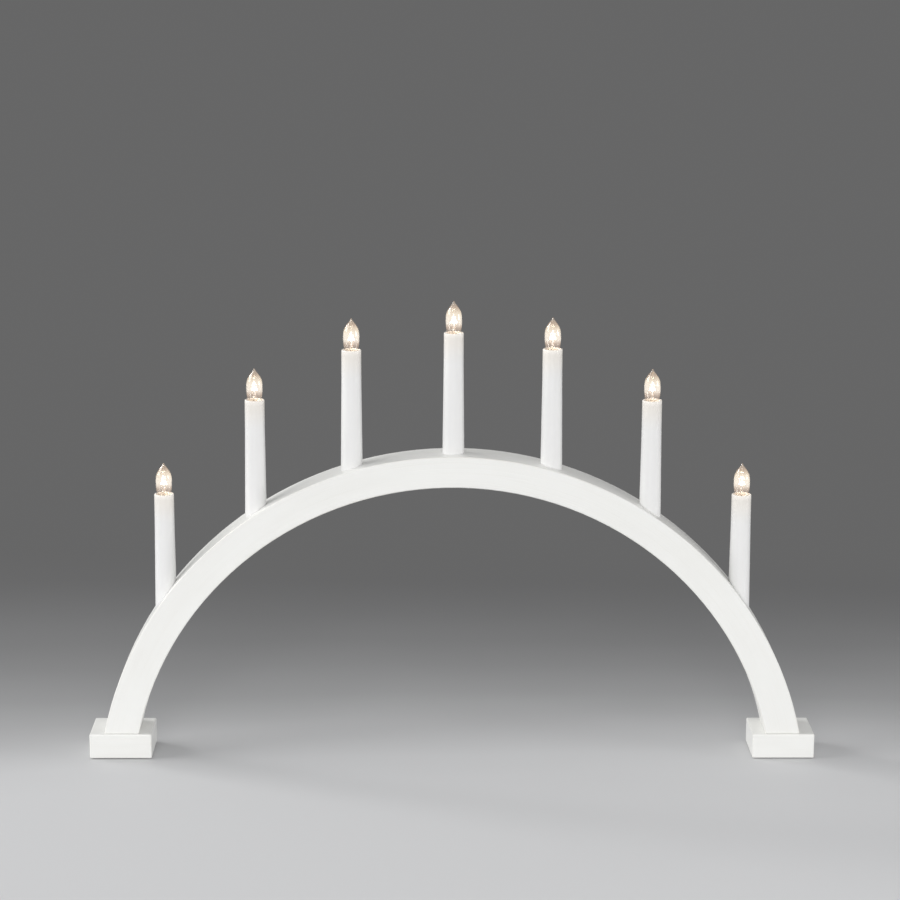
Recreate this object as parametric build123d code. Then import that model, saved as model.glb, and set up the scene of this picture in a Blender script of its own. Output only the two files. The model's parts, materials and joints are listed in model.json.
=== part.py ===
from build123d import *
from math import acos, cos, degrees, pi, radians, sin, sqrt, tan
import os

# An electric candle arch. A bent wooden bow stands on two block feet and carries seven
# plastic candle sleeves. Each sleeve holds a lamp holder near its top, and a small
# pointed bulb screws into it. The wires run in a covered channel under the bow.
# X runs along the arch, -Y is the front and Z is up. The origin is the middle of the
# rectangle that the two feet cover, on the surface that the arch stands on.
# Candles are numbered 1 to 7 from the left, as seen from the front.

# Feet
overall_width = 640.0
foot_outer_margin = 12.9
foot_inner_margin = 11.3
foot_depth = 48.0
foot_block_height = 22.0
foot_edge_radius = 1.2
pad_radius = 6.0
pad_thickness = 0.6
pad_inset = 10.0

# Bow
bow_depth = 38.0
bow_setback = 2.5
crown_height = 272.8
crown_thickness = 27.2
leg_thickness = 30.4
bow_edge_chamfer = 0.7
leg_end_chamfer = 0.5

# How far out each candle stands, as a share of the bow's outer radius, how far the innermost
# pair stands to the right of its even places, and how deep each seat is sunk at its downhill edge
inner_candle_share = 0.2769
middle_candle_share = 0.549
outer_candle_share = 0.8036
inner_pair_shift = -1.5
centre_seat_sink = 2.1
inner_seat_sink = 1.6
middle_seat_sink = 3.2
outer_seat_sink = 4.2
seat_clearance = 0.15

# Candle sleeve
sleeve_length = 108.0
sleeve_rim_radius = 8.55
sleeve_waist_radius = 8.6
sleeve_waist_depth = 26.0
sleeve_base_radius = 9.5
sleeve_wall = 1.25
sleeve_lip_radius = 6.9
sleeve_lip_height = 4.0
sleeve_rim_round = 0.9
sleeve_bore_round = 0.3

# Lamp holder and its two contacts
holder_length = 20.0
slip_clearance = 0.05
holder_edge_round = 0.4
shell_wall = 0.3
shell_top_drop = 0.8
shell_length = 10.0
shell_ridge_turns = 2
shell_ridge_drop = 2.0
tab_thickness = 0.25
tab_width = 1.8
tab_reach = 2.0
tab_root = 0.5
centre_disc_radius = 2.6
centre_disc_thickness = 0.4
centre_tab_x = 2.3

# Bulb cap and its screw thread
thread_pitch = 1.814
thread_root_radius = 4.2
thread_crest_radius = 4.75
thread_clearance = 0.25
thread_base_half = 0.65
thread_crest_half = 0.2
thread_turns = 4
thread_bite = 0.12
thread_start_drop = 0.9
cap_wall = 0.3
cap_depth = 3.0
cap_collar_length = 2.4
cap_length = 12.6
insulator_plug = 0.6
insulator_clearance = 0.06
insulator_height = 1.4
insulator_tip_radius = 2.0
tip_radius = 1.6
tip_flat_radius = 1.1
tip_height = 0.8

# Bulb glass, measured from the sleeve's rim
glass_height = 27.4
glass_radius = 7.15
glass_wall = 0.5
glass_neck_radius = 4.15
glass_neck_length = 2.0
glass_side_slope = (0.12, 0, 1)
glass_tip_slope = (-0.75, 0, 1)
stem_radius = 1.5
stem_bore_radius = 0.45
stem_top = 2.8
stem_round = 0.5
lead_radius = 0.2
lead_spacing = 0.9
lead_foot = 1.2
lead_bend_radius = 1.4
filament_radius = 0.12
filament_span = 2.4
filament_height = 8.4

# The glass above the rim: shares of its height, and of its radius there
glass_profile_shares = [
    (0.00, 0.855),
    (0.10, 0.925),
    (0.22, 0.975),
    (0.38, 1.000),
    (0.52, 0.980),
    (0.64, 0.900),
    (0.74, 0.745),
    (0.84, 0.510),
    (0.93, 0.250),
    (0.97, 0.130),
]

# Wiring channel under the bow, and the strip that closes it
channel_width = 7.0
channel_depth = 6.0
channel_end_margin = 8.0
cover_width = 17.0
cover_thickness = 1.5
cover_clearance = 0.1
cover_screw_count = 8
cover_screw_radius = 1.0
cover_screw_length = 9.0
cover_head_radius = 1.9
cover_head_height = 1.1

# Wires
wire_radius = 0.9
wire_hole_radius = 3.5
wire_offset = 1.2
return_wire_offset = 0.6
return_wire_y = -2.2
wire_bend_radius = 5.4
wire_drop_height = 12.0
wire_entry_depth = 2.0
wire_layer = 2.4
wire_step = 30.0

# Cable inlet at the back of the right-hand leg
inlet_height = 45.0
inlet_layer = 6.4
grommet_radius = 3.6
grommet_bore_radius = 2.4
grommet_flange_radius = 5.6
grommet_flange = 1.5
grommet_round = 0.5
inlet_wire_gap = 0.5
sharp_turn = 45
bend_room_share = 0.45

# Screws that hold the feet
foot_screw_radius = 1.75
foot_screw_length = 36.0
foot_screw_head_radius = 3.5
foot_screw_head_height = 2.4
foot_screw_recess = 1.5
foot_screw_y = 10.0
cross_width = 0.7
cross_share = 0.6
screw_point_share = 2.0

# Cuts run past what they cut by this much
overrun = 1.0


def arc_radius(reach, rise):
    """Radius of an arc from its highest point to an end this far out and this far below."""
    return (reach**2 + rise**2) / (2 * rise)


# Places that follow from the sizes above
quarter_turn = 90
foot_top = pad_thickness + foot_block_height
foot_width = foot_inner_margin + leg_thickness + foot_outer_margin
leg_out = overall_width / 2 - foot_outer_margin
leg_in = leg_out - leg_thickness
outer_radius = arc_radius(leg_out, crown_height - foot_top)
inner_radius = arc_radius(leg_in, crown_height - crown_thickness - foot_top)
bow_y = -foot_depth / 2 + bow_setback + bow_depth / 2
bow_back = bow_y + bow_depth / 2
outer_centre_z = crown_height - outer_radius
inner_centre_z = crown_height - crown_thickness - inner_radius
seat_radius = sleeve_base_radius + seat_clearance
recess_radius = inner_radius + cover_thickness
channel_radius = recess_radius + channel_depth
wire_path_radius = recess_radius + wire_layer
inlet_radius = inner_radius + inlet_layer
holder_radius = sleeve_waist_radius - sleeve_wall - slip_clearance
shell_bore = thread_crest_radius + thread_clearance
shell_outer = shell_bore + shell_wall
shell_slot_x = -(shell_outer - tab_thickness / 2 - 2 * slip_clearance)

# Levels along a candle, from the sleeve's rim down
holder_top = -sleeve_lip_height
holder_bottom = holder_top - holder_length
shell_top = holder_top - shell_top_drop
shell_bottom = shell_top - shell_length
cap_top = -cap_depth
collar_bottom = cap_top - cap_collar_length
cap_bottom = cap_top - cap_length
insulator_bottom = cap_bottom - insulator_height
tip_bottom = insulator_bottom - tip_height
disc_bottom = tip_bottom - centre_disc_thickness
tab_bottom = holder_bottom - tab_reach


def seat_floor(x, sink):
    """Height of the flat floor that a candle stands on."""
    edge = abs(x) + seat_radius
    return outer_centre_z + sqrt(outer_radius**2 - edge**2) - sink


def candle_places():
    """Each candle's x and the height of its seat floor, from left to right."""
    inner = outer_radius * inner_candle_share
    middle = outer_radius * middle_candle_share
    outer = outer_radius * outer_candle_share
    places = [
        (-outer, outer_seat_sink),
        (-middle, middle_seat_sink),
        (inner_pair_shift - inner, inner_seat_sink),
        (0, centre_seat_sink),
        (inner_pair_shift + inner, inner_seat_sink),
        (middle, middle_seat_sink),
        (outer, outer_seat_sink),
    ]
    return [(x, seat_floor(x, sink)) for x, sink in places]


def lean(x, z):
    """Angle from the vertical, in degrees, of a point seen from the inner arc's centre."""
    reach = sqrt(x**2 + (z - inner_centre_z) ** 2)
    tilt = degrees(acos((z - inner_centre_z) / reach))
    return tilt if x >= 0 else -tilt


def on_arc(radius, angle, y=0):
    """A point about the inner arc's centre, at an angle from the vertical."""
    turn = radians(angle)
    return Vector(radius * sin(turn), bow_y + y, inner_centre_z + radius * cos(turn))


def along_radius(radius, angle, y=0):
    """Location on the arc whose +Z points away from the arc's centre."""
    return Pos(*on_arc(radius, angle, y)) * Rot(0, angle, 0)


def revolve_profile(points):
    """Solid of revolution about Z from (radius, height) corners."""
    face = make_face(Polyline(*[(r, 0, z) for r, z in points], close=True))
    return revolve(face, Axis.Z)


def ring_sector(inner, outer, start, end, width):
    """Curved bar about the inner arc's centre, between two angles from the vertical."""
    centre = (0, inner_centre_z)
    sweep_angle = end - start
    first = quarter_turn - end
    low = CenterArc(centre, inner, first, sweep_angle)
    high = CenterArc(centre, outer, first, sweep_angle)
    outline = Curve() + [low, high, Line(low @ 0, high @ 0), Line(low @ 1, high @ 1)]
    bar = extrude(Plane.XZ * make_face(outline), width / 2, both=True)
    return Pos(0, bow_y, 0) * bar


def cross_recess(radius, depth):
    """Cross-shaped driver recess, opening downward at height zero."""
    bar = Box(2 * radius * cross_share, cross_width, 2 * depth)
    return bar + Rot(0, 0, quarter_turn) * bar


def wood_screw(radius, length, head_radius, head_height):
    """Countersunk screw, head down at height zero and point up."""
    tip = radius * screw_point_share
    body = revolve_profile([
        (0, 0),
        (head_radius, 0),
        (radius, head_height),
        (radius, length - tip),
        (0, length),
    ])
    return body - cross_recess(head_radius, head_height / 2)


def screw_hole(radius, length, head_radius, head_height):
    """Room for a countersunk screw, with the slip clearance all round."""
    grown = head_radius + slip_clearance
    return revolve_profile([
        (0, -overrun),
        (grown, -overrun),
        (grown, 0),
        (radius + slip_clearance, head_height),
        (radius + slip_clearance, length),
        (0, length),
    ])


def helical_ridge(base, crest, bottom, turns):
    """Screw ridge between two radii, from a height up, over a number of turns."""
    step = thread_bite if crest > base else -thread_bite
    slope = (thread_base_half - thread_crest_half) / abs(crest - base)
    wide = thread_base_half + slope * thread_bite
    path = Helix(thread_pitch, thread_pitch * turns, base)
    outline = make_face(Polyline(
        (base - step, 0, -wide),
        (crest, 0, -thread_crest_half),
        (crest, 0, thread_crest_half),
        (base - step, 0, wide),
        close=True,
    ))
    return Pos(0, 0, bottom) * sweep(outline, path=path, is_frenet=True)


def candle_sleeve():
    bore = sleeve_waist_radius - sleeve_wall
    tube = revolve_profile([
        (sleeve_lip_radius, 0),
        (sleeve_rim_radius, 0),
        (sleeve_waist_radius, -sleeve_waist_depth),
        (sleeve_base_radius, -sleeve_length),
        (sleeve_base_radius - sleeve_wall, -sleeve_length),
        (bore, -sleeve_waist_depth),
        (bore, -sleeve_lip_height),
        (sleeve_lip_radius, -sleeve_lip_height),
    ])
    rim = tube.edges().filter_by(GeomType.CIRCLE).filter_by_position(Axis.Z, 0, 0)
    tube = fillet(rim.sort_by(SortBy.RADIUS)[-1], sleeve_rim_round)
    rim = tube.edges().filter_by(GeomType.CIRCLE).filter_by_position(Axis.Z, 0, 0)
    return fillet(rim.sort_by(SortBy.RADIUS)[0], sleeve_bore_round)


def contact_tab(x, top):
    """Flat terminal that reaches down out of the lamp holder."""
    height = top - tab_bottom
    return Pos(x, 0, tab_bottom + height / 2) * Box(tab_thickness, tab_width, height)


def tab_slot(x, top):
    """Slot in the lamp holder for one terminal."""
    height = top - holder_bottom + overrun
    room = Box(tab_thickness + 2 * slip_clearance, tab_width + 2 * slip_clearance, height)
    return Pos(x, 0, top - height / 2) * room


def lamp_holder():
    shell_room = shell_outer + slip_clearance
    shell_seat = shell_bottom - slip_clearance
    tip_room = shell_bore
    body = revolve_profile([
        (tip_room, disc_bottom),
        (0, disc_bottom),
        (0, holder_bottom),
        (holder_radius, holder_bottom),
        (holder_radius, holder_top),
        (shell_room, holder_top),
        (shell_room, shell_seat),
        (tip_room, shell_seat),
    ])
    rim = body.edges().filter_by(GeomType.CIRCLE).sort_by(SortBy.RADIUS)[-2:]
    body = fillet(rim, holder_edge_round)
    return body - tab_slot(shell_slot_x, shell_bottom) - tab_slot(centre_tab_x, disc_bottom)


def screw_shell():
    """Brass shell that takes the cap's thread, with its terminal."""
    shell = revolve_profile([
        (shell_bore, shell_bottom),
        (shell_outer, shell_bottom),
        (shell_outer, shell_top),
        (shell_bore, shell_top),
    ])
    lead_in = cap_thread_start() + thread_pitch / 2
    steps = (shell_top - shell_ridge_drop - lead_in) // thread_pitch - shell_ridge_turns
    crest = thread_root_radius + thread_clearance
    ridge = helical_ridge(shell_bore, crest, lead_in + steps * thread_pitch, shell_ridge_turns)
    return shell + ridge + contact_tab(shell_slot_x, shell_bottom + tab_root)


def centre_contact():
    """Brass disc under the bulb's tip, with its terminal."""
    disc = Pos(0, 0, disc_bottom) * extrude(Circle(centre_disc_radius), centre_disc_thickness)
    return disc + contact_tab(centre_tab_x, disc_bottom)


def cap_thread_start():
    return cap_bottom + thread_start_drop


def bulb_cap():
    bore = thread_root_radius - cap_wall
    body = revolve_profile([
        (bore, cap_bottom),
        (thread_root_radius, cap_bottom),
        (thread_root_radius, collar_bottom),
        (thread_crest_radius, collar_bottom),
        (thread_crest_radius, cap_top),
        (thread_crest_radius - cap_wall, cap_top),
        (thread_crest_radius - cap_wall, collar_bottom + cap_wall),
        (bore, collar_bottom + cap_wall),
    ])
    return body + helical_ridge(thread_root_radius, thread_crest_radius, cap_thread_start(), thread_turns)


def bulb_tip():
    """Black glass insulator and the solder contact under it."""
    plug = thread_root_radius - cap_wall - insulator_clearance
    insulator = revolve_profile([
        (0, cap_bottom + insulator_plug),
        (plug, cap_bottom + insulator_plug),
        (plug, cap_bottom),
        (insulator_tip_radius, insulator_bottom),
        (0, insulator_bottom),
    ])
    contact = revolve_profile([
        (0, insulator_bottom),
        (tip_radius, insulator_bottom),
        (tip_flat_radius, tip_bottom),
        (0, tip_bottom),
    ])
    return [insulator, contact]


def glass_side(inset):
    """Side of the glass from the neck to the tip, drawn in by an inset."""
    points = [(glass_radius * r - inset, 0, glass_height * h) for h, r in glass_profile_shares]
    low = (glass_neck_radius - inset, 0, cap_top)
    shoulder = Spline(low, *points[:2], tangents=[(0, 0, 1), glass_side_slope])
    body = Spline(*points[1:], tangents=[glass_side_slope, glass_tip_slope])
    return [shoulder, body, Line(body @ 1, (0, 0, glass_height - inset))]


def bulb_glass():
    """Clear glass with its neck in the cap, closed below by the stem that holds the leads."""
    foot = cap_top - glass_neck_length
    floor = foot + glass_wall
    outside = glass_side(0)
    inside = glass_side(glass_wall)
    neck = inside[0] @ 0
    crown = Line(outside[-1] @ 1, inside[-1] @ 1)
    base = Polyline(
        neck,
        (neck.X, 0, floor),
        (stem_radius, 0, floor),
        (stem_radius, 0, stem_top - stem_round),
        (stem_radius - stem_round, 0, stem_top),
        (stem_bore_radius, 0, stem_top),
        (stem_bore_radius, 0, foot),
        (glass_neck_radius, 0, foot),
        outside[0] @ 0,
    )
    outline = Curve() + outside + [crown] + inside + [base]
    return revolve(make_face(outline), Axis.Z)


def bulb_filament():
    """Two leads standing on the stem and the filament that bridges them."""
    pieces = []
    for side in (-1, 1):
        route = FilletPolyline(
            (side * lead_spacing, 0, stem_top),
            (side * lead_spacing, 0, stem_top + lead_foot),
            (side * filament_span, 0, filament_height - lead_foot),
            (side * filament_span, 0, filament_height),
            radius=lead_bend_radius / 2,
        )
        section = Plane(route @ 0, z_dir=route % 0) * Circle(lead_radius)
        pieces.append(sweep(section, path=route))
    bridge = ThreePointArc(
        (-filament_span, 0, filament_height),
        (0, 0, filament_height + filament_span),
        (filament_span, 0, filament_height),
    )
    section = Plane(bridge @ 0, z_dir=bridge % 0) * Circle(filament_radius)
    return pieces + [sweep(section, path=bridge)]


def wooden_foot(side):
    """Rounded block with two counterbored screw holes from below."""
    x = side * (overall_width - foot_width) / 2
    block = Box(foot_width, foot_depth, foot_block_height)
    block = fillet(block.edges(), foot_edge_radius)
    block = Pos(x, 0, pad_thickness + foot_block_height / 2) * block
    for place in foot_screw_places(side):
        block -= Pos(*place) * foot_screw_room()
    return block


def foot_screw_room():
    well = foot_screw_head_radius + slip_clearance
    hole = screw_hole(
        foot_screw_radius, foot_screw_length, foot_screw_head_radius, foot_screw_head_height
    )
    depth = foot_screw_recess + overrun
    return hole + Pos(0, 0, -depth) * extrude(Circle(well), depth)


def foot_screw_places(side):
    """Where the two screws of a foot start, under the middle of the leg's end."""
    x = side * (leg_in + leg_out) / 2
    start = pad_thickness + foot_screw_recess
    return [(x, bow_y - foot_screw_y, start), (x, bow_y + foot_screw_y, start)]


def pad_places():
    """Centres of the felt pads, one near each corner of both feet."""
    outer_x = overall_width / 2 - pad_inset
    inner_x = overall_width / 2 - foot_width + pad_inset
    y = foot_depth / 2 - pad_inset
    return [(sx * x, sy * y) for sx in (-1, 1) for x in (inner_x, outer_x) for sy in (-1, 1)]


def inlet_angle():
    """Angle from the vertical at which the cable comes into the right-hand leg."""
    return degrees(acos((inlet_height - inner_centre_z) / inlet_radius))


def channel_limits():
    """Start and end angles of the channel, past the first wire hole and past the inlet."""
    margin = degrees(channel_end_margin / channel_radius)
    x, z = candle_places()[0]
    return lean(x, z) - margin, inlet_angle() + margin


def inlet_bore(radius, depth):
    """Bore from the back of the right-hand leg towards the front."""
    place = on_arc(inlet_radius, inlet_angle())
    return Plane((place.X, bow_back, place.Z), z_dir=(0, -1, 0)) * extrude(Circle(radius), depth)


def cover_screw_places():
    """Locations of the small screws, alternately on each side of the channel."""
    start, end = channel_limits()
    step = (end - start) / cover_screw_count
    shift = (cover_width / 2 + channel_width / 2) / 2
    places = []
    for number in range(cover_screw_count):
        side = 1 if number % 2 else -1
        angle = start + step * (number + 1 / 2)
        places.append(along_radius(inner_radius, angle, side * shift))
    return places


def bent_bow():
    """Bow of two arcs with broken edges, cut level on the feet, with its seats, channel and holes."""
    ring = Pos(0, outer_centre_z) * Circle(outer_radius) - Pos(0, inner_centre_z) * Circle(inner_radius)
    hoop = Pos(0, bow_y, 0) * extrude(Plane.XZ * ring, bow_depth / 2, both=True)
    hoop = chamfer(hoop.edges().filter_by(GeomType.CIRCLE), bow_edge_chamfer)
    bow = split(hoop, Plane.XY.offset(foot_top), keep=Keep.TOP)
    ends = bow.edges().filter_by_position(Axis.Z, foot_top, foot_top)
    bow = chamfer(ends, leg_end_chamfer)
    start, end = channel_limits()
    below = inner_radius - overrun
    play = degrees(cover_clearance / inner_radius)
    bow -= ring_sector(below, channel_radius, start, end, channel_width)
    bow -= ring_sector(below, recess_radius, start - play, end + play, cover_width + 2 * cover_clearance)
    for x, floor in candle_places():
        pocket = extrude(Circle(seat_radius), crown_height - floor + overrun)
        bow -= Pos(x, bow_y, floor) * pocket
        bow -= wire_hole(x, floor)
    bow -= inlet_bore(grommet_radius + slip_clearance, bow_depth / 2 + channel_width / 2)
    for place in cover_screw_places():
        bow -= place * screw_hole(
            cover_screw_radius, cover_screw_length, cover_head_radius, cover_head_height
        )
    for side in (-1, 1):
        for place in foot_screw_places(side):
            bow -= Pos(*place) * foot_screw_room()
    return bow


def wire_hole(x, floor):
    """Hole from the channel up to the middle of a seat, square to the channel."""
    angle = lean(x, floor)
    reach = sqrt(x**2 + (floor - inner_centre_z) ** 2)
    extra = wire_hole_radius * tan(radians(abs(angle)))
    length = reach - recess_radius + extra
    return along_radius(recess_radius, angle) * extrude(Circle(wire_hole_radius), length)


def channel_cover():
    start, end = channel_limits()
    strip = ring_sector(inner_radius, recess_radius - slip_clearance, start, end, cover_width)
    for place in cover_screw_places():
        strip -= place * screw_hole(
            cover_screw_radius, cover_screw_length, cover_head_radius, cover_head_height
        )
    return strip


def cable_grommet():
    """Flanged bush in the inlet, open for a cable."""
    depth = bow_depth / 2 - channel_width / 2
    body = revolve_profile([
        (grommet_bore_radius, -depth),
        (grommet_radius, -depth),
        (grommet_radius, 0),
        (grommet_flange_radius, 0),
        (grommet_flange_radius, grommet_flange),
        (grommet_bore_radius, grommet_flange),
    ])
    rim = body.edges().filter_by_position(Axis.Z, grommet_flange, grommet_flange)
    body = fillet(rim, grommet_round)
    place = on_arc(inlet_radius, inlet_angle())
    return Plane((place.X, bow_back, place.Z), z_dir=(0, 1, 0)) * body


def drop_points(x, floor, tab_x, offset, y):
    """Points of a wire from a terminal, down the sleeve and through the hole to the channel."""
    angle = lean(x, floor)
    turn = radians(angle)
    across = Vector(cos(turn), 0, -sin(turn))
    inward = Vector(-sin(turn), 0, -cos(turn))
    seat = Vector(x, bow_y + y, floor) + across * offset
    reach = sqrt(x**2 + (floor - inner_centre_z) ** 2)
    return [
        Vector(x + tab_x, bow_y, floor + sleeve_length + tab_bottom),
        Vector(x + tab_x, bow_y, floor + wire_drop_height),
        seat + inward * wire_entry_depth,
        seat + inward * (reach - wire_path_radius),
    ]


def arc_points(start, end, y):
    """Evenly spaced points of a wire along the channel, between two angles."""
    gap = abs(end - start)
    count = max(1, round(gap * wire_path_radius / degrees(wire_step)))
    step = (end - start) / (count + 1)
    return [on_arc(wire_path_radius, start + step * (n + 1), y) for n in range(count)]


def bend_radii(points):
    """Largest arc for each corner that its two runs allow, up to the room in the bow."""
    radii = []
    for before, corner, after in zip(points, points[1:], points[2:]):
        into = corner - before
        out = after - corner
        turn = radians(into.get_angle(out))
        most = bend_room_share * min(into.length, out.length) / tan(turn / 2)
        sharp = turn > radians(sharp_turn)
        radii.append(min(most, wire_bend_radius) if sharp else most)
    return radii


def wire(points, name):
    """Insulated wire along a route of straight runs and tangent arcs."""
    radii = bend_radii(points)
    print(name, "smallest bend radius", round(min(radii), 2))
    route = FilletPolyline(*points, radius=radii)
    section = Plane(route @ 0, z_dir=route % 0) * Circle(wire_radius)
    solid = sweep(section, path=route)
    expected = pi * wire_radius**2 * route.length
    print(name, "volume over section times length", round(solid.volume / expected, 4))
    return solid


def link_wires():
    """Six wires that join the seven sockets in a row."""
    places = candle_places()
    links = []
    for number, (first, second) in enumerate(zip(places, places[1:]), start=1):
        down = drop_points(*first, centre_tab_x, wire_offset, 0)
        up = drop_points(*second, shell_slot_x, -wire_offset, 0)
        start = wire_angle(first, wire_offset)
        end = wire_angle(second, -wire_offset)
        route = down + arc_points(start, end, 0) + up[::-1]
        links.append(wire(route, f"link wire {number}"))
    return links


def wire_angle(place, offset):
    """Angle at which a wire that is shifted sideways in its hole meets the channel."""
    return lean(*place) + degrees(offset / wire_path_radius)


def supply_wires():
    """Wires from the inlet to the first and the last socket."""
    places = candle_places()
    inlet = inlet_angle() - degrees(inlet_wire_gap / wire_path_radius)
    feed_top = drop_points(*places[-1], centre_tab_x, wire_offset, 0)
    feed_end = wire_angle(places[-1], wire_offset)
    feed = [on_arc(wire_path_radius, inlet)] + arc_points(inlet, feed_end, 0) + feed_top[::-1]
    back_top = drop_points(*places[0], shell_slot_x, -return_wire_offset, return_wire_y)
    back_end = wire_angle(places[0], -return_wire_offset)
    back = [on_arc(wire_path_radius, inlet, return_wire_y)]
    back += arc_points(inlet, back_end, return_wire_y) + back_top[::-1]
    return [wire(feed, "feed wire"), wire(back, "return wire")]


def save(name, pieces):
    """Write one node, made of one or more separate solids."""
    pieces = pieces if isinstance(pieces, list) else [pieces]
    solids = [solid for piece in pieces for solid in piece.solids()]
    export_step(Compound(label=name, children=solids), f"parts/{name}.step")


def main():
    os.makedirs("parts", exist_ok=True)
    sleeve = candle_sleeve()
    holder = lamp_holder()
    contacts = [screw_shell(), centre_contact()]
    glass = bulb_glass()
    cap = bulb_cap()
    filament = bulb_filament()
    tip = bulb_tip()
    for number, (x, floor) in enumerate(candle_places(), start=1):
        place = Pos(x, bow_y, floor + sleeve_length)
        save(f"candle_sleeve_{number}", place * sleeve)
        save(f"lamp_holder_{number}", place * holder)
        save(f"socket_contacts_{number}", [place * piece for piece in contacts])
        save(f"bulb_glass_{number}", place * glass)
        save(f"bulb_cap_{number}", place * cap)
        save(f"bulb_filament_{number}", [place * piece for piece in filament])
        save(f"bulb_tip_{number}", [place * piece for piece in tip])
    save("bow", bent_bow())
    save("left_foot", wooden_foot(-1))
    save("right_foot", wooden_foot(1))
    foot_screw = wood_screw(
        foot_screw_radius, foot_screw_length, foot_screw_head_radius, foot_screw_head_height
    )
    places = foot_screw_places(-1) + foot_screw_places(1)
    save("foot_screws", [Pos(*place) * foot_screw for place in places])
    pad = extrude(Circle(pad_radius), pad_thickness)
    save("foot_pads", [Pos(x, y, 0) * pad for x, y in pad_places()])
    save("channel_cover", channel_cover())
    cover_screw = wood_screw(
        cover_screw_radius, cover_screw_length, cover_head_radius, cover_head_height
    )
    save("cover_screws", [place * cover_screw for place in cover_screw_places()])
    save("cable_grommet", cable_grommet())
    save("link_wires", link_wires())
    save("supply_wires", supply_wires())


main()
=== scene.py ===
# %% [markdown]
# # An electric candle arch
# A bent wooden bow stands on two block feet and carries seven plastic candles. Each candle
# ends in a small clear bulb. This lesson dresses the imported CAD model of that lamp.
# The CAD model arrives as a fixed frame: its pieces are already in place, in metres, so
# the work here is on finishes, on the bulbs, and on the light that shows them.

# %% Load the frame
import json
from math import atan2, cos, pi, radians, sin

import bmesh
import bpy
from mathutils import Matrix, Vector


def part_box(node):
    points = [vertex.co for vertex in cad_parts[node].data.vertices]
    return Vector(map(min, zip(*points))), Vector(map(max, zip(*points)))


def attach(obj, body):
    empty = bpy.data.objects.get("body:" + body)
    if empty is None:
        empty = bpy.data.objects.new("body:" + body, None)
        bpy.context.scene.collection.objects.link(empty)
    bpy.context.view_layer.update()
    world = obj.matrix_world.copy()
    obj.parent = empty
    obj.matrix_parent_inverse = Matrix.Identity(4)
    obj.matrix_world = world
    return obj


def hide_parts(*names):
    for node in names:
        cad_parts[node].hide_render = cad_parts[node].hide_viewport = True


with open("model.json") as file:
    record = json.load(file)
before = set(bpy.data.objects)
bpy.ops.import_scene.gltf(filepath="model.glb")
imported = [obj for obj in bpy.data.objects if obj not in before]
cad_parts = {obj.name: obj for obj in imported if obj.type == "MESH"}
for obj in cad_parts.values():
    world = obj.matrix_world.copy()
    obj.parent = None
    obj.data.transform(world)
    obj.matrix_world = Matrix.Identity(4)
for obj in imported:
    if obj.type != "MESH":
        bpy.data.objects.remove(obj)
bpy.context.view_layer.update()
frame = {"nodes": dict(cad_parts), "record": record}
nodes = frame["nodes"]
CANDLES = range(1, 8)
MM = 0.001


print("pieces in the frame:", len(nodes))

# %% [markdown]
# ## The camera
# The photograph was taken from a little above the crown of the arch and from far away,
# with a long lens, so upright candles stay almost parallel. The place and the angles came
# from matching the corners of the feet, the crown and the candle rims.
# A camera looks along its own -Z, so its matrix holds the right, up and backward
# directions as columns.

# %% Place the camera
LENS_MM, SENSOR_MM = 104.86, 36
FARTHEST_SEEN = 60
CAMERA_PLACE = Vector((-0.03204, -2.2279, 0.76635))
PITCH, YAW, ROLL = radians(12.45), radians(0.75), radians(0.21)

forward = Vector((sin(YAW) * cos(PITCH), cos(YAW) * cos(PITCH), -sin(PITCH)))
level_right = forward.cross(Vector((0, 0, 1))).normalized()
level_up = level_right.cross(forward)
right = level_right * cos(ROLL) + level_up * sin(ROLL)
up = level_up * cos(ROLL) - level_right * sin(ROLL)

camera_data = bpy.data.cameras.new("photo_camera")
camera_data.lens = LENS_MM
camera_data.sensor_width = SENSOR_MM
camera_data.clip_end = FARTHEST_SEEN
camera = bpy.data.objects.new("photo_camera", camera_data)
camera_turn = Matrix((right, up, -forward)).transposed()
camera.matrix_world = Matrix.Translation(CAMERA_PLACE) @ camera_turn.to_4x4()
bpy.context.scene.collection.objects.link(camera)
bpy.context.scene.camera = camera
print("camera looks along", [round(v, 3) for v in forward])

# %% [markdown]
# ## Small helpers for node materials
# A material is a tree of nodes. Writing each node and each link by hand takes many lines,
# so a few helpers do it. The first adds a node and fills its inputs, and the others use
# it for arithmetic, smooth steps, mixed colours and the parts of a point.

# %% Node helpers
def add(tree, kind, inputs=None, **settings):
    """New shader node. An input is a value, or a socket to link from."""
    node = tree.nodes.new("ShaderNode" + kind)
    for key, value in settings.items():
        setattr(node, key, value)
    for key, value in (inputs or {}).items():
        if isinstance(value, bpy.types.NodeSocket):
            tree.links.new(value, node.inputs[key])
        else:
            node.inputs[key].default_value = value
    return node


def work_out(tree, operation, *values):
    """Result socket of one arithmetic step."""
    return add(tree, "Math", dict(enumerate(values)), operation=operation).outputs[0]


def fade(tree, value, low, high, start=0.0, end=1.0):
    """Smooth step from start to end while the value goes from low to high."""
    inputs = {"Value": value, "From Min": low, "From Max": high, "To Min": start, "To Max": end}
    return add(tree, "MapRange", inputs, interpolation_type="SMOOTHSTEP").outputs[0]


def mix(tree, share, first, second):
    """Colour between two colours."""
    return add(tree, "Mix", {0: share, 6: first, 7: second}, data_type="RGBA").outputs[2]


def combine(tree, operation, first, second):
    """Result socket of one step of vector arithmetic."""
    return add(tree, "VectorMath", {0: first, 1: second}, operation=operation).outputs[0]


def surface_point(tree, kind="Object"):
    """Object coordinates are metres. Generated ones run from 0 to 1 over the piece's box."""
    return add(tree, "TexCoord").outputs[kind]


def apart(tree, point):
    """The x, y and z sockets of a point."""
    return add(tree, "SeparateXYZ", {0: point}).outputs


# %% [markdown]
# Noise gives a surface its small unevenness, in colour, in roughness and in relief. It is
# stretched by its number of blobs a metre along each axis, so that it can run with the
# wood. Its values crowd in the middle and seldom leave 0.3 to 0.7.

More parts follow.
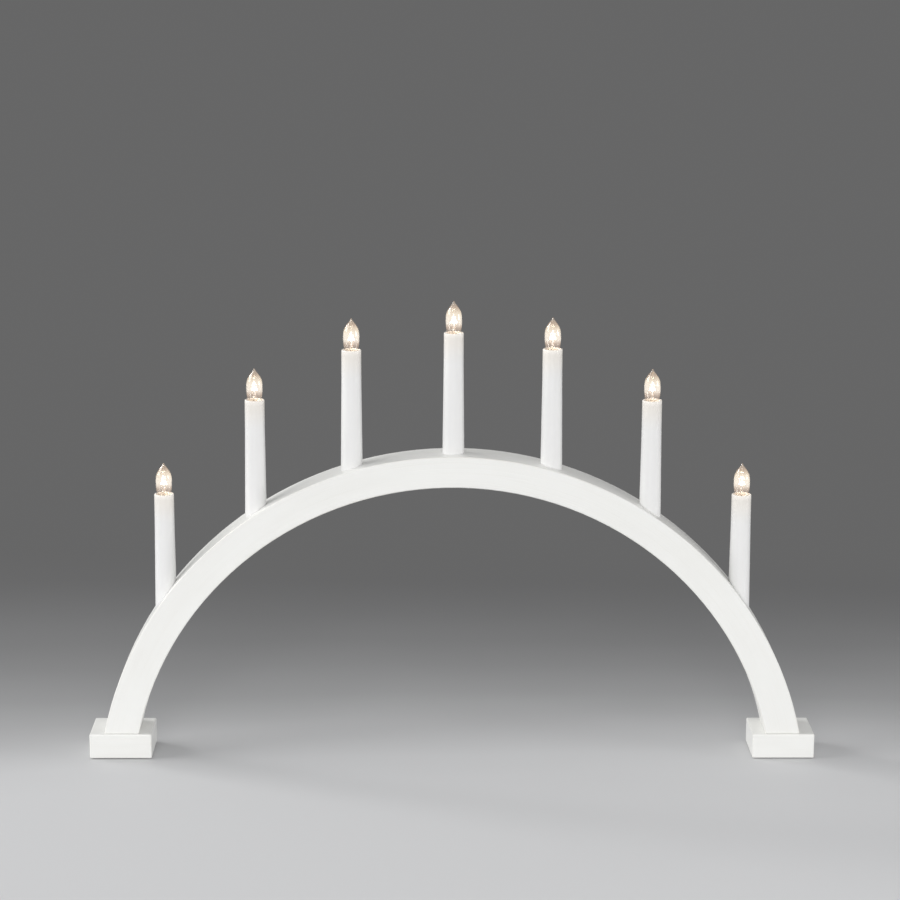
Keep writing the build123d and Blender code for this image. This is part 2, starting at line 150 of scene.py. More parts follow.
# %% Noise and relief
NOISE_LOW, NOISE_HIGH = 0.3, 0.7


def noise(tree, point, stretch, detail=3.0):
    """Cloudy value from 0 to 1, with this many blobs a metre along each axis."""
    scaled = combine(tree, "MULTIPLY", point, stretch)
    return add(tree, "TexNoise", {"Vector": scaled, "Scale": 1.0, "Detail": detail}).outputs[0]


def vary(tree, cloud, low, high):
    """Value that wanders from low to high with a noise."""
    return fade(tree, cloud, NOISE_LOW, NOISE_HIGH, low, high)


def bump(tree, height, depth, below=None):
    """Normal of a surface whose relief is this deep, in metres."""
    inputs = {"Height": height, "Distance": depth, "Strength": 1.0}
    if below:
        inputs["Normal"] = below
    return add(tree, "Bump", inputs).outputs[0]


# %% [markdown]
# Every finish ends in one Principled shader. Plain values are set on it straight away, and
# what varies over the surface is linked into it.

# %% One finish
def new_finish(name, **values):
    """Material with one Principled shader: returns it, its tree and the shader."""
    material = bpy.data.materials.new(name)
    material.use_nodes = True
    tree = material.node_tree
    shader = tree.nodes["Principled BSDF"]
    for key, value in values.items():
        shader.inputs[key.replace("_", " ")].default_value = value
    return material, tree, shader


def wire_up(tree, shader, **sockets):
    """Link sockets into the shader's inputs."""
    for key, socket in sockets.items():
        tree.links.new(socket, shader.inputs[key.replace("_", " ")])


# %% [markdown]
# ## White paint over bent wood
# The bow is wood that was bent or glued up in a curve, and then painted white. Paint hides
# the colour of wood but not its relief: long pores run along the bend, brush or roller
# marks lie over them, and the paint thins on the broken edges. A picture wrapped on the
# bow could show that. Here the pattern comes from noise in coordinates that follow the
# bend, so the grain turns with the wood and has no seam.

# %% Arcs of the bow
CROWN_THICKNESS, LEG_THICKNESS = 27.2 * MM, 30.4 * MM
bow_low, bow_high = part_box("bow")
foot_low, foot_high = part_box("right_foot")


def arc_radius(reach, rise):
    """Radius of an arc from its highest point to an end this far out and this far below."""
    return (reach**2 + rise**2) / (2 * rise)


BOW_RISE = bow_high.z - foot_high.z
OUTER_RADIUS = arc_radius(bow_high.x, BOW_RISE)
OUTER_CENTRE_Z = bow_high.z - OUTER_RADIUS
INNER_RADIUS = arc_radius(bow_high.x - LEG_THICKNESS, BOW_RISE - CROWN_THICKNESS)
INNER_CENTRE_Z = bow_high.z - CROWN_THICKNESS - INNER_RADIUS
BOW_Y, BOW_DEPTH = (bow_low.y + bow_high.y) / 2, bow_high.y - bow_low.y
print("radii of the bow:", round(OUTER_RADIUS, 4), round(INNER_RADIUS, 4))

# %% [markdown]
# The straightened wood has the way along the bend as its X, the depth as its Y, and the
# distance from the inner arc's centre as its Z. Paint wears where two faces meet, so the
# distance from the nearest long edge is worked out too: the larger of the distances from
# the nearer curved face and from the nearer flat one.

# %% Coordinates that follow the bend
def reach_from(tree, x, z, centre_z):
    """Distance from a centre at x = 0 and this height."""
    rise = work_out(tree, "SUBTRACT", z, centre_z)
    wide_square = work_out(tree, "MULTIPLY", x, x)
    square = work_out(tree, "ADD", wide_square, work_out(tree, "MULTIPLY", rise, rise))
    return work_out(tree, "SQRT", square)


def room_to(tree, value, middle, half):
    """Distance from the nearer of two parallel faces."""
    off_middle = work_out(tree, "ABSOLUTE", work_out(tree, "SUBTRACT", value, middle))
    return work_out(tree, "SUBTRACT", half, off_middle)


def bow_grain(tree):
    """Point in the straightened wood, and the distance from the nearest long edge."""
    x, y, z = apart(tree, surface_point(tree))
    angle = work_out(tree, "ARCTAN2", x, work_out(tree, "SUBTRACT", z, INNER_CENTRE_Z))
    reach = reach_from(tree, x, z, INNER_CENTRE_Z)
    along = work_out(tree, "MULTIPLY", angle, INNER_RADIUS)
    point = add(tree, "CombineXYZ", {0: along, 1: y, 2: reach}).outputs[0]
    from_inner = work_out(tree, "SUBTRACT", reach, INNER_RADIUS)
    from_outer = work_out(tree, "SUBTRACT", OUTER_RADIUS, reach_from(tree, x, z, OUTER_CENTRE_Z))
    from_face = room_to(tree, y, BOW_Y, BOW_DEPTH / 2)
    nearest = work_out(tree, "MINIMUM", from_inner, from_outer)
    return point, work_out(tree, "MAXIMUM", nearest, from_face)


# %% [markdown]
# The feet are straight blocks, so their grain simply runs along X. The distance from an
# edge is the middle one of the distances from the three pairs of faces: on an edge two of
# them are nothing, and in the middle of a face only one is.

# %% Coordinates of the feet
FOOT_CENTRE = (foot_low + foot_high) / 2
FOOT_HALF = (foot_high - foot_low) / 2


def foot_grain(tree):
    """Point in the block, and the distance from its nearest edge."""
    point = surface_point(tree)
    x, y, z = apart(tree, point)
    from_end = room_to(tree, work_out(tree, "ABSOLUTE", x), FOOT_CENTRE.x, FOOT_HALF.x)
    from_face = room_to(tree, y, FOOT_CENTRE.y, FOOT_HALF.y)
    from_level = room_to(tree, z, FOOT_CENTRE.z, FOOT_HALF.z)
    low = work_out(tree, "MINIMUM", from_end, from_face)
    high = work_out(tree, "MAXIMUM", from_end, from_face)
    return point, work_out(tree, "MAXIMUM", low, work_out(tree, "MINIMUM", high, from_level))


# %% [markdown]
# Bow, strip and feet share one recipe. Three sizes of relief make the paint look applied
# by hand: pores of the wood, marks of the brush, and the fine orange peel of a satin coat.
# The colour varies by a few parts in a hundred only, because fresh white paint is even.
# Each noise has its number of blobs a metre along the three axes, and each relief a depth.

# %% Painted wood
PAINT_WHITE = (0.86, 0.86, 0.835, 1)
PAINT_SHADE = (0.84, 0.838, 0.81, 1)
WORN_EDGE = (0.72, 0.69, 0.62, 1)
PORES = (14, 900, 900)
BRUSH_MARKS = (5, 420, 260)
ORANGE_PEEL = (1500, 1500, 1500)
CLOUDS = (16, 45, 45)
PORE_DEPTH, BRUSH_DEPTH, PEEL_DEPTH = 0.03 * MM, 0.06 * MM, 0.012 * MM
PORE_RANGE, BRUSH_RANGE, CLOUD_RANGE = (0.36, 0.5), (0.42, 0.7), (0.35, 0.75)
WEAR_FROM, WEAR_TO = 0.4 * MM, 1.6 * MM
WEAR_SHARE, PORE_SHARE = 0.4, 0.05
PAINT_ROUGHNESS = (0.36, 0.5)
SOFT_GLOSS = 0.45


def painted_wood(name, grain):
    """Satin paint whose relief follows this grain, thin on the edges."""
    material, tree, shader = new_finish(name, Specular_IOR_Level=SOFT_GLOSS)
    point, from_edge = grain(tree)
    pores = noise(tree, point, PORES, detail=4.0)
    brushed = noise(tree, point, BRUSH_MARKS, detail=2.0)
    peel = noise(tree, point, ORANGE_PEEL, detail=1.0)
    clouds = noise(tree, point, CLOUDS)
    filled = fade(tree, pores, *PORE_RANGE)
    near_edge = fade(tree, from_edge, WEAR_FROM, WEAR_TO, WEAR_SHARE, 0)
    thin = work_out(tree, "MULTIPLY", near_edge, fade(tree, brushed, *BRUSH_RANGE))
    coat = mix(tree, fade(tree, clouds, *CLOUD_RANGE), PAINT_WHITE, PAINT_SHADE)
    coat = mix(tree, thin, coat, WORN_EDGE)
    coat = mix(tree, fade(tree, filled, 0, 1, PORE_SHARE, 0), coat, WORN_EDGE)
    relief = bump(tree, filled, PORE_DEPTH)
    relief = bump(tree, brushed, BRUSH_DEPTH, relief)
    relief = bump(tree, peel, PEEL_DEPTH, relief)
    roughness = vary(tree, brushed, *PAINT_ROUGHNESS)
    wire_up(tree, shader, Base_Color=coat, Roughness=roughness, Normal=relief)
    return material


finishes = {
    "painted_wood": painted_wood("painted_bow", bow_grain),
    "cover_painted": painted_wood("painted_cover_strip", bow_grain),
}
painted_foot = painted_wood("painted_foot", foot_grain)
print("paint finishes:", [m.name for m in finishes.values()], painted_foot.name)

# %% [markdown]
# ## Moulded plastic: the candle sleeves
# A candle sleeve is a thin moulded tube. It has two faint seams where the mould halves
# met, and flow marks along its length. Near its rim the bulb's light shines through the wall:
# that is painted light, a warmer colour and a faint glow in the plastic. The lip inside its
# mouth, closest to the bulb, is painted darker with a warm tint: painted shade.
# Generated coordinates run from 0 to 1 over each sleeve, so one finish fits all seven:
# the share of the height drives the painted light near the rim, and the place across drives
# the seams and the painted shade in the mouth.

# %% Candle plastic
CANDLE_WHITE = (0.82, 0.818, 0.81, 1)
# Warmer colour towards the rim: painted warm light of the bulb shining through the wall.
PAINTED_RIM_WARMTH = (0.825, 0.79, 0.74, 1)
# Darker colour inside the mouth: painted shade with a warm tint.
PAINTED_MOUTH_SHADE = (0.62, 0.57, 0.53, 1)
BULB_WARMTH = (1.0, 0.93, 0.86, 1)
WARM_HEIGHTS, GLOWING_HEIGHTS, RIM_GLOW = (0.74, 0.97), (0.955, 1.0), 0.11
MOUTH_REACH = (0.385, 0.41)
SEAM_ANGLE, SEAM_HALF_WIDTH, SEAM_SHARE = radians(-52), 0.012, 0.12
FLOW_MARKS, HAZE = (260, 260, 18), (1300, 1300, 1300)
FLOW_DEPTH, HAZE_DEPTH, SEAM_DEPTH = 0.04 * MM, 0.008 * MM, 0.05 * MM
CANDLE_ROUGHNESS = (0.34, 0.46)


def seam_line(tree, x, y, angle, half_width):
    """1 on two lines down a round piece, on opposite sides, and 0 away from them."""
    x_part = work_out(tree, "MULTIPLY", x, sin(angle))
    across = work_out(tree, "SUBTRACT", x_part, work_out(tree, "MULTIPLY", y, cos(angle)))
    return fade(tree, work_out(tree, "ABSOLUTE", across), 0, half_width, 1, 0)


def candle_plastic():
    """White plastic of the sleeves, with seams, painted warm light at the rim and painted shade in the
    mouth.
    """
    material, tree, shader = new_finish("candle_plastic", Specular_IOR_Level=SOFT_GLOSS)
    share = combine(tree, "SUBTRACT", surface_point(tree, "Generated"), (0.5, 0.5, 0))
    x, y, height = apart(tree, share)
    seam = seam_line(tree, x, y, SEAM_ANGLE, SEAM_HALF_WIDTH)
    mouth = fade(tree, reach_from(tree, x, y, 0.0), *MOUTH_REACH, 1, 0)
    point = surface_point(tree)
    flow = noise(tree, point, FLOW_MARKS)
    haze = noise(tree, point, HAZE, detail=1.0)
    # Painted warm light: the colour turns warmer towards the rim.
    colour = mix(tree, fade(tree, height, *WARM_HEIGHTS), CANDLE_WHITE, PAINTED_RIM_WARMTH)
    colour = mix(tree, work_out(tree, "MULTIPLY", seam, SEAM_SHARE), colour, WORN_EDGE)
    # Painted shade inside the mouth.
    colour = mix(tree, mouth, colour, PAINTED_MOUTH_SHADE)
    relief = bump(tree, flow, FLOW_DEPTH)
    relief = bump(tree, haze, HAZE_DEPTH, relief)
    relief = bump(tree, seam, SEAM_DEPTH, relief)
    roughness = vary(tree, flow, *CANDLE_ROUGHNESS)
    # Painted glow: emission near the rim, for the bulb's light through the wall.
    glow = fade(tree, height, *GLOWING_HEIGHTS, 0, RIM_GLOW)
    shader.inputs["Emission Color"].default_value = BULB_WARMTH
    wire_up(
        tree, shader,
        Base_Color=colour, Roughness=roughness, Normal=relief, Emission_Strength=glow,
    )
    return material


finishes["candle_plastic"] = candle_plastic()
print("candle finish:", finishes["candle_plastic"].name)

# %% [markdown]
# The hidden plastics are plainer, but each still has its own grain: heat-proof holder
# plastic is slightly speckled, the cable bush is soft and dull, and wire cover is glossy
# with a faint wave along it. One recipe makes all three from a colour, a shade of it, the
# number of specks a metre, the depth of the grain and two roughnesses.

# %% Plain plastics
FINE_GRAIN = (1600, 1600, 1600)
SHADE_RANGE = (0.35, 0.7)


def moulded(name, colour, shade, specks, depth, roughness):
    """Plastic whose colour and roughness vary in specks, over a fine grain of this depth."""
    material, tree, shader = new_finish(name)
    point = surface_point(tree)
    cloud = noise(tree, point, specks)
    fine = noise(tree, point, FINE_GRAIN, detail=1.0)
    wire_up(
        tree, shader,
        Base_Color=mix(tree, fade(tree, cloud, *SHADE_RANGE), colour, shade),
        Roughness=vary(tree, cloud, *roughness),
        Normal=bump(tree, fine, depth),
    )
    return material


finishes["holder_plastic"] = moulded(
    "holder_plastic", colour=(0.8, 0.79, 0.75, 1), shade=(0.74, 0.72, 0.67, 1),
    specks=(500, 500, 500), depth=0.02 * MM, roughness=(0.45, 0.6),
)
finishes["grommet_rubber"] = moulded(
    "bush_plastic", colour=(0.84, 0.84, 0.82, 1), shade=(0.78, 0.78, 0.75, 1),
    specks=(300, 300, 300), depth=0.03 * MM, roughness=(0.55, 0.7),
)
finishes["wire_insulation"] = moulded(
    "wire_cover", colour=(0.85, 0.84, 0.8, 1), shade=(0.8, 0.78, 0.72, 1),
    specks=(90, 300, 90), depth=0.02 * MM, roughness=(0.3, 0.42),
)
print("plastic finishes:", sorted(set(finishes) - {"painted_wood", "cover_painted"}))

# %% [markdown]
# ## Metals
# The bulb cap and the contacts are pressed brass, and the screws are zinc-plated steel.
# Bare metal is never one colour: it tarnishes in soft patches, and handling leaves fine
# lines. Metallic stays at 1, and the colour and the roughness vary.

# %% Pressed and plated metal
TARNISH_PATCHES, HANDLING_LINES = (380, 380, 380), (150, 150, 2600)
TARNISH_RANGE = (0.42, 0.72)
LINE_DEPTH = 0.01 * MM


def bare_metal(name, colour, tarnish, roughness):
    """Metal that is tarnished in patches, with fine level lines from handling."""
    material, tree, shader = new_finish(name, Metallic=1.0)
    point = surface_point(tree)
    patches = noise(tree, point, TARNISH_PATCHES, detail=4.0)
    lines = noise(tree, point, HANDLING_LINES, detail=2.0)
    wire_up(
        tree, shader,
        Base_Color=mix(tree, fade(tree, patches, *TARNISH_RANGE), colour, tarnish),
        Roughness=vary(tree, lines, *roughness),
        Normal=bump(tree, lines, LINE_DEPTH),
    )
    return material


finishes["contact_brass"] = bare_metal(
    "contact_brass", colour=(0.8, 0.61, 0.3, 1), tarnish=(0.58, 0.4, 0.18, 1), roughness=(0.26, 0.42)
)
finishes["cap_brass"] = bare_metal(
    "cap_brass", colour=(0.83, 0.68, 0.38, 1), tarnish=(0.62, 0.46, 0.22, 1), roughness=(0.22, 0.4)
)
finishes["zinc_screw"] = bare_metal(
    "zinc_screw", colour=(0.72, 0.73, 0.72, 1), tarnish=(0.55, 0.56, 0.57, 1), roughness=(0.28, 0.45)
)
print("metal finishes:", [finishes[slot].name for slot in ("contact_brass", "cap_brass", "zinc_screw")])

# %% [markdown]
# ## The bulb's foot, and felt for the pads
# The end of a bulb is a bead of black glass with a drop of solder in its middle. Both are
# one CAD node, and the solder is its lowest part, so the share of the height chooses
# between them.

# %% Black glass with solder
BLACK_GLASS, SOLDER_GREY = (0.025, 0.022, 0.03, 1), (0.66, 0.66, 0.64, 1)
SOLDER_HEIGHTS = (0.28, 0.29)
FOOT_RIPPLES, FOOT_RIPPLE_DEPTH = (700, 700, 700), 0.06 * MM
FOOT_ROUGHNESS = (0.16, 0.38)


def bulb_foot():
    """Black glass, and metal below the height where the solder ends."""
    material, tree, shader = new_finish("bulb_foot_glass")
    height = apart(tree, surface_point(tree, "Generated"))[2]
    solder = fade(tree, height, *SOLDER_HEIGHTS, 1, 0)
    ripples = noise(tree, surface_point(tree), FOOT_RIPPLES)
    wire_up(
        tree, shader,
        Base_Color=mix(tree, solder, BLACK_GLASS, SOLDER_GREY),
        Metallic=solder,
        Roughness=vary(tree, ripples, *FOOT_ROUGHNESS),
        Normal=bump(tree, ripples, FOOT_RIPPLE_DEPTH),
    )
    return material


finishes["insulator_glass"] = bulb_foot()
print("bulb foot:", finishes["insulator_glass"].name)

# %% [markdown]
# Felt is matted fibre: coarse noise makes its clumps, and fine stretched noise its fibres,
# with a dull sheen over them.

# %% Felt
FELT_DARK, FELT_PALE = (0.13, 0.125, 0.12, 1), (0.21, 0.2, 0.19, 1)
FELT_CLUMPS, FELT_FIBRES = (450, 450, 900), (3200, 900, 2400)
FIBRE_DEPTH = 0.12 * MM


def pad_felt():
    """Dark pressed felt."""
    material, tree, shader = new_finish("pad_felt", Roughness=0.95, Sheen_Weight=0.4, Sheen_Roughness=0.6)
    point = surface_point(tree)
    clumps = noise(tree, point, FELT_CLUMPS, detail=4.0)
    fibres = noise(tree, point, FELT_FIBRES, detail=2.0)
    felt = mix(tree, vary(tree, clumps, 0, 1), FELT_DARK, FELT_PALE)
    wire_up(tree, shader, Base_Color=felt, Normal=bump(tree, fibres, FIBRE_DEPTH))
    return material


finishes["pad_felt"] = pad_felt()
print("felt:", finishes["pad_felt"].name)

# %% [markdown]
# ## Dress the CAD pieces
# The record says which material slot every node takes. The finish replaces whatever the
# frame brought with it. The mesh and its place stay as they are. The feet share the bow's
# slot, but their paint follows their own straight grain.

# %% Give every node its finish
slot_of = {entry["node"]: entry["material_slot"] for entry in frame["record"]["subparts"]}


def dress(node, finish):
    """Give a node this finish alone."""
    node.data.materials.clear()
    node.data.materials.append(finish)


for name, node in nodes.items():
    if slot_of[name] in finishes:
        dress(node, finishes[slot_of[name]])
for name in ("left_foot", "right_foot"):
    dress(nodes[name], painted_foot)
print("dressed:", sum(slot_of[name] in finishes for name in nodes), "of", len(nodes))

# %% [markdown]
# ## The bulb's glass
# The bulb is a small clear candle bulb: a thin glass that swells above the rim and is
# drawn out to a point where the flame worker sealed it. Inside stands the stem, a glass
# tube pressed flat at its top round the two leads. A lathe makes the envelope: a profile
# that turns about Z. The points are joined by a smooth curve, so a few of them are enough.
# The wall has an inner side too, because light bends in a real thickness of glass.

# %% A lathe with a smooth profile
def between(p, q, r, s, t):
    """Value at this share of the way from q to r, on a smooth curve through all four."""
    bend = 2 * p - 5 * q + 4 * r - s
    twist = 3 * q - p - 3 * r + s
    return 0.5 * (2 * q + (r - p) * t + bend * t**2 + twist * t**3)


def smooth_line(points, steps):
    """Points on a curve that runs through all the given points."""
    line = []
    ends = [points[0], *points, points[-1]]
    for four in zip(ends, ends[1:], ends[2:], ends[3:]):
        for step in range(steps):
            line.append(tuple(between(*values, step / steps) for values in zip(*four)))
    return line + [points[-1]]


def turn(mesh, profile, sides, squeeze=1.0, finish=0):
    """Faces of a profile of (radius, height) turned about Z. A radius of 0 is a single point."""
    angles = [2 * pi * n / sides for n in range(sides)]
    rings = []
    for radius, height in profile:
        around = angles if radius > 0 else angles[:1]
        rings.append([
            mesh.verts.new((radius * cos(angle), squeeze * radius * sin(angle), height))
            for angle in around
        ])
    for low, high in zip(rings, rings[1:]):
        for n in range(sides):
            places = [(low, n), (low, n + 1), (high, n + 1), (high, n)]
            corners = list(dict.fromkeys(ring[place % len(ring)] for ring, place in places))
            if len(corners) > 2:
                mesh.faces.new(corners).material_index = finish


def finished_mesh(mesh, name, *materials):
    """Mesh data with even outward normals and smooth shading."""
    bmesh.ops.recalc_face_normals(mesh, faces=mesh.faces)
    for face in mesh.faces:
        face.smooth = True
    data = bpy.data.meshes.new(name)
    mesh.to_mesh(data)
    mesh.free()
    for material in materials:
        data.materials.append(material)
    return data


# %% [markdown]
# The profile is written in millimetres: out from the middle, and above the candle's rim.
# Its first points are the neck, which stands down in the sleeve. The inner wall is the
# outer one less the wall's thickness, and it ends a little below the drawn tip.

# %% Profile of the glass
GLASS_SIDE = [
    (4.15, -5.0), (4.15, -4.0), (4.2, -3.0), (4.9, -1.6), (6.11, 0.0), (6.62, 2.74),
    (6.95, 6.03), (7.08, 10.4), (6.9, 14.2), (6.25, 17.5), (5.0, 20.3), (3.3, 22.9),
    (1.95, 24.7), (1.2, 25.8), (0.85, 26.5), (0.52, 27.05), (0.22, 27.32), (0.0, 27.38),
]
GLASS_STEPS = 4
GLASS_WALL = 0.5
INNER_TIP_RISE = 0.1


def metres(profile):
    """Profile in metres from one in millimetres."""
    return [(radius * MM, height * MM) for radius, height in profile]


def glass_walls():
    """Profiles of the outer and the inner wall."""
    outer = smooth_line(GLASS_SIDE, GLASS_STEPS)
    inner = [(radius - GLASS_WALL, height) for radius, height in outer if radius > GLASS_WALL]
    inner[-1] = (0.0, inner[-1][1] + INNER_TIP_RISE)
    return metres(outer), metres([GLASS_SIDE[0], *inner])


print("tip of the glass:", GLASS_SIDE[-1][1], "mm above the rim")

# %% [markdown]
# The stem starts at the neck, narrows to a tube, and is squeezed flat and wide at its top.
# A second lathe makes it, flattened in one direction so that it reads as a pressed seal.

# %% Profile of the stem
STEM_SIDE = [
    (3.6, -4.9), (3.0, -4.6), (2.0, -3.9), (1.55, -2.6), (1.5, -0.8),
    (1.62, 0.6), (1.7, 1.9), (1.4, 2.6), (0.7, 2.85), (0.0, 2.9),
]
STEM_STEPS, STEM_SQUEEZE = 3, 0.72
print("top of the stem:", STEM_SIDE[-1][1], "mm above the rim")

# %% [markdown]
# ## Clear glass
# Glass is a Principled shader with full transmission. The lit filament fills a real bulb
# with warm light: the inner side of the wall catches some of it, most at the filament's
# height and least at the neck and the tip. An emission that follows the height above the
# rim gives that. It is on the inner side only, so the wall's own thickness stays clear and
# draws a thin dark outline, as on a real bulb. The stem stands in front of that light and
# takes none of its own. Every bulb keeps its origin at its rim, so object coordinates
# measure the height. Lamps shine through the glass: for shadow rays the Light Path node
# makes it transparent.

# %% Glass, and glass with the filament's light in it
GLASS_TINT = (1.0, 0.985, 0.955, 1)
GLASS_BENDING = 1.48
GLASS_RIPPLES, GLASS_RIPPLE_DEPTH = (160, 160, 60), 0.2 * MM
GLASS_HEIGHT = 27.4 * MM
GLOW_HEIGHTS = [0.02, 0.1, 0.19, 0.29, 0.48, 0.58, 0.68, 0.8, 0.93]
GLOW_COLOURS = [
    (0.08, 0.06, 0.045), (0.14, 0.1, 0.075), (0.24, 0.185, 0.145),
    (0.4, 0.36, 0.315), (0.41, 0.37, 0.32), (0.38, 0.33, 0.265),
    (0.3, 0.245, 0.185), (0.17, 0.12, 0.085), (0.12, 0.095, 0.075),
]


def ramp(tree, share, places, colours):
    """Colour that goes smoothly through these colours at these places."""
    node = add(tree, "ValToRGB", {0: share})
    stops = node.color_ramp.elements
    while len(stops) < len(places):
        stops.new(0.5)
    for stop, place, colour in zip(stops, places, colours):
        stop.position = place
        stop.color = (*colour, 1)
    return node.outputs[0]


def show_both(tree, share, first, second):
    """Send a mixture of two shaders to the surface."""
    both = add(tree, "MixShader", {0: share, 1: first.outputs[0], 2: second.outputs[0]})
    tree.links.new(both.outputs[0], tree.nodes["Material Output"].inputs[0])


def clear_glass(name, lit):
    """Clear glass that lets lamps through, with or without the filament's light in it."""
    material, tree, shader = new_finish(
        name, Base_Color=GLASS_TINT, Transmission_Weight=1.0, Roughness=0.02, IOR=GLASS_BENDING
    )
    point = surface_point(tree)
    ripples = noise(tree, point, GLASS_RIPPLES, detail=2.0)
    wire_up(tree, shader, Normal=bump(tree, ripples, GLASS_RIPPLE_DEPTH))
    if lit:
        height = work_out(tree, "DIVIDE", apart(tree, point)[2], GLASS_HEIGHT)
        wire_up(tree, shader, Emission_Color=ramp(tree, height, GLOW_HEIGHTS, GLOW_COLOURS))
        shader.inputs["Emission Strength"].default_value = 1.0
    let_through = add(tree, "BsdfTransparent", {0: GLASS_TINT})
    show_both(tree, add(tree, "LightPath").outputs["Is Shadow Ray"], shader, let_through)
    return material


# %% [markdown]
# The two walls meet at the neck, where points that lie together become one, so that the
# envelope is a single closed wall. The stem is a form of its own inside it.

# %% Glass of one bulb
CLEAR, LIT = 0, 1
GLASS_SIDES, STEM_SIDES = 56, 28
SAME_POINT = 0.001 * MM

outer_wall, inner_wall = glass_walls()
stem_wall = metres(smooth_line(STEM_SIDE, STEM_STEPS))
glass_finishes = [clear_glass("bulb_glass", False), clear_glass("lit_bulb_glass", True)]
glass_mesh = bmesh.new()
turn(glass_mesh, outer_wall, GLASS_SIDES, finish=CLEAR)
turn(glass_mesh, inner_wall, GLASS_SIDES, finish=LIT)
bmesh.ops.remove_doubles(glass_mesh, verts=glass_mesh.verts, dist=SAME_POINT)
turn(glass_mesh, stem_wall, STEM_SIDES, STEM_SQUEEZE, CLEAR)
glass_data = finished_mesh(glass_mesh, "candle_bulb_glass", *glass_finishes)
print("faces in one bulb's glass:", len(glass_data.polygons))

# %% [markdown]
# ## Leads and filament
# Two stiff leads rise from the pressed stem, lean apart, and hold the ends of the
# filament. The filament is wire wound into a fine coil, which hangs between them in an
# arch. Curves suit wire best: a line of points with a round section. The coil is a helix
# wound about the arch.

# %% Lead and coil lines
LEAD_FOOT_X, LEAD_TOP_X = 0.9 * MM, 2.4 * MM
STEM_TOP, FILAMENT_FOOT = 2.6 * MM, 8.4 * MM
LEAD_HEIGHTS = [0, 0.18, 0.34, 0.72, 0.88, 1, 1.06]
LEAD_SPREADS = [0, 0, 0.1, 0.86, 1, 1, 0.97]
COIL_TURNS, COIL_RADIUS = 17, 0.34 * MM
STEPS_PER_TURN = 10


def lead_line(side):
    """Points up one lead, by their shares of its height and of its lean outwards."""
    tall = FILAMENT_FOOT - STEM_TOP
    wide = LEAD_TOP_X - LEAD_FOOT_X
    return [
        (side * (LEAD_FOOT_X + wide * spread), 0, STEM_TOP + tall * height)
        for height, spread in zip(LEAD_HEIGHTS, LEAD_SPREADS)
    ]


def coil_line():
    """Points on a helix wound about the arch from one lead's top to the other's."""
    count = COIL_TURNS * STEPS_PER_TURN
    line = []
    for n in range(count + 1):
        sweep = pi * n / count
        spin = 2 * pi * n / STEPS_PER_TURN
        reach = LEAD_TOP_X + COIL_RADIUS * cos(spin)
        line.append((-reach * cos(sweep), COIL_RADIUS * sin(spin), FILAMENT_FOOT + reach * sin(sweep)))
    return line


# %% [markdown]
# The section's own radius is one metre here, and every point scales it to the wire's real
# radius. A curve's bounding box is padded by the points' radii, so in this way the box
# stays as tight as the wire.

# %% Round wires
CURVE_ORDER = 3
SECTION_RADIUS = 1.0


def wires(name, lines, radius, material, roundness):
    """Curve object data: round wires along lines of points."""
    data = bpy.data.curves.new(name, "CURVE")
    data.dimensions = "3D"
    data.bevel_depth = SECTION_RADIUS
    data.bevel_resolution = roundness
    data.use_fill_caps = True
    for line in lines:
        spline = data.splines.new("NURBS")
        spline.points.add(len(line) - 1)
        for point, place in zip(spline.points, line):
            point.co = (*place, 1)
            point.radius = radius
        spline.order_u = CURVE_ORDER
        spline.use_endpoint_u = True
    data.materials.append(material)
    return data


# %% [markdown]
# The leads are nickel-iron wire with a copper tint, dulled by heat. The coil shines on its
# own, so bright that a camera sees it as plain white, with a warm edge. It also lights the
# inside of the glass and the rim of the candle: a small warm lamp stands in its middle.

# %% Wires of one bulb
FILAMENT_LIGHT, FILAMENT_METAL = (1.0, 0.91, 0.8, 1), (0.9, 0.85, 0.75, 1)
GLOW_PATCHES, PATCH_RANGE = (900, 900, 900), (0.2, 0.8)
DIMMEST, BRIGHTEST = 5, 8
LEAD_RADIUS, COIL_WIRE_RADIUS = 0.17 * MM, 0.12 * MM


def glowing_wire():
    """Wire that shines, a little unevenly, far above white."""
    material, tree, shader = new_finish(
        "lit_filament", Roughness=0.5, Base_Color=FILAMENT_METAL, Emission_Color=FILAMENT_LIGHT
    )
    uneven = noise(tree, surface_point(tree), GLOW_PATCHES, detail=2.0)
    wire_up(tree, shader, Emission_Strength=fade(tree, uneven, *PATCH_RANGE, DIMMEST, BRIGHTEST))
    return material


lead_metal = bare_metal(
    "bulb_lead_wire", colour=(0.72, 0.6, 0.5, 1), tarnish=(0.5, 0.38, 0.3, 1), roughness=(0.3, 0.5)
)
lead_data = wires("bulb_leads", [lead_line(-1), lead_line(1)], LEAD_RADIUS, lead_metal, roundness=2)
coil_data = wires("bulb_coil", [coil_line()], COIL_WIRE_RADIUS, glowing_wire(), roundness=1)
print("points on one coil:", len(coil_line()))

# %% [markdown]
# ## Put a bulb in every candle
# The three pieces are made once, and every candle gets its own objects that share them.
# The middle of each candle's rim comes from its CAD sleeve. The glass stands for the CAD
# glass, the wires for the CAD leads and filament, and all of them ride on the bulb's
# body, so they turn and rise with it when it is unscrewed. The small lamp in each coil is
# a child of its glass, which carries it along.

# %% Seven bulbs
BULB_WATTS = 0.00025
BULB_LAMP_RADIUS = 2.2 * MM


def put(name, data, place, body):
    """Piece with these data at this place, on a body."""
    piece = bpy.data.objects.new(name, data)
    bpy.context.scene.collection.objects.link(piece)
    piece.location = place
    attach(piece, body)
    return piece


def filament_lamp(n, glass):
    """Small warm lamp in the middle of the coil."""
    data = bpy.data.lights.new(f"filament_light_{n}", "POINT")
    data.energy = BULB_WATTS
    data.color = FILAMENT_LIGHT[:3]
    data.shadow_soft_size = BULB_LAMP_RADIUS
    lamp = bpy.data.objects.new(f"filament_light_{n}", data)
    lamp.parent = glass
    lamp.location = (0, 0, FILAMENT_FOOT + LEAD_TOP_X / 2)
    bpy.context.scene.collection.objects.link(lamp)


